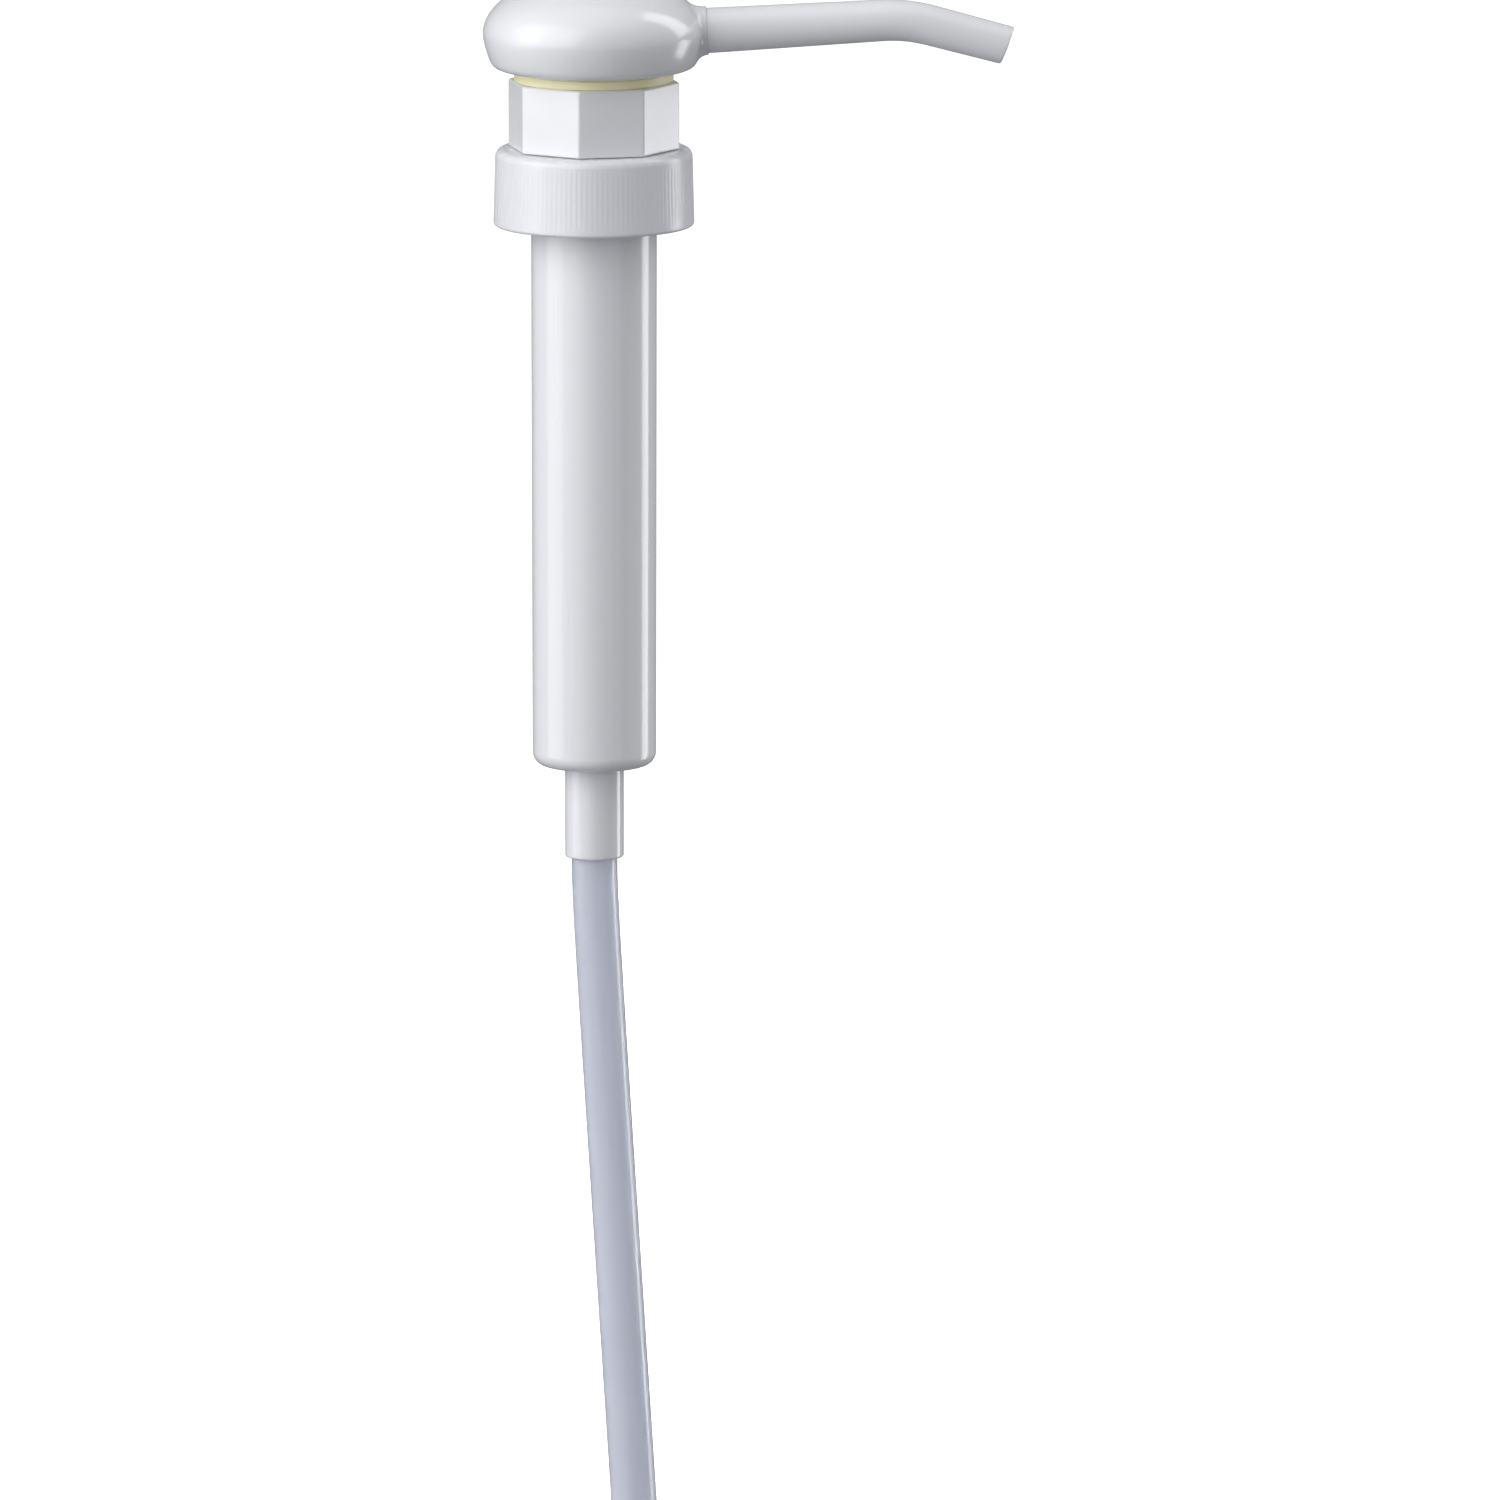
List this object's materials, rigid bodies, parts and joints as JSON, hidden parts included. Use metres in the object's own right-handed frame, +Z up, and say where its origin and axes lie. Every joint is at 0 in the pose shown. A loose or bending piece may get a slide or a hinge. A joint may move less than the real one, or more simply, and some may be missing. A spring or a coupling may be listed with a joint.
{
  "type": "condiment pump",
  "caption": "Screw-on condiment pump with a dome head, long bent spout, octagonal lock nut, threaded cap, spring-return piston in a barrel, and a dip tube.",
  "frame": {"origin": "on the pump's axis, on the underside of the neck gasket, where the rim of the jug's neck presses", "axes": "+Z up along the pump's axis, +X along the spout, +Y to the left of the spout seen from above"},
  "size_m": [0.1095, 0.0458, 0.3374],
  "materials": {
    "white_moulding": "glossy moulded polypropylene",
    "clear_tube": "translucent extruded polyethylene",
    "yellow_seal": "pale yellow soft ring",
    "soft_gasket": "foamed polyethylene",
    "dark_lip": "soft black elastomer",
    "natural_plastic": "natural polymer, waxy",
    "spring_steel": "drawn stainless wire",
    "ball_steel": "polished stainless ball"
  },
  "bodies": {
    "closure": {"screw_cap": "white_moulding"},
    "pump_body": {"barrel": "white_moulding", "neck_gasket": "soft_gasket", "lock_nut": "white_moulding", "seal_ring": "yellow_seal", "stem_guide": "natural_plastic", "stem_wiper": "dark_lip", "spring_seat": "white_moulding", "spring": "spring_steel", "dip_tube": "clear_tube"},
    "inlet_valve": {"inlet_ball": "ball_steel"},
    "plunger": {"piston": "white_moulding", "piston_cup": "natural_plastic"},
    "outlet_valve": {"outlet_ball": "ball_steel"},
    "pump_head": {"stem": "white_moulding", "head": "white_moulding", "spout": "white_moulding"}
  },
  "joints": [
    {"name": "cap_turn", "type": "hinge", "parent": "closure", "child": "pump_body", "pos_m": [0, 0, 0], "axis": [0, 0, 1], "continuous": true},
    {"name": "inlet_ball_lift", "type": "slide", "parent": "pump_body", "child": "inlet_valve", "axis": [0, 0, 1], "range_m": [0, 0.003]},
    {"name": "plunge", "type": "slide", "parent": "pump_body", "child": "plunger", "axis": [0, 0, 1], "range_m": [0, 0.074], "deforming": ["spring"]},
    {"name": "outlet_ball_lift", "type": "slide", "parent": "plunger", "child": "outlet_valve", "axis": [0, 0, 1], "range_m": [0, 0.003]},
    {"name": "head_turn", "type": "hinge", "parent": "plunger", "child": "pump_head", "pos_m": [0, 0, 0], "axis": [0, 0, 1], "continuous": true}
  ]
}
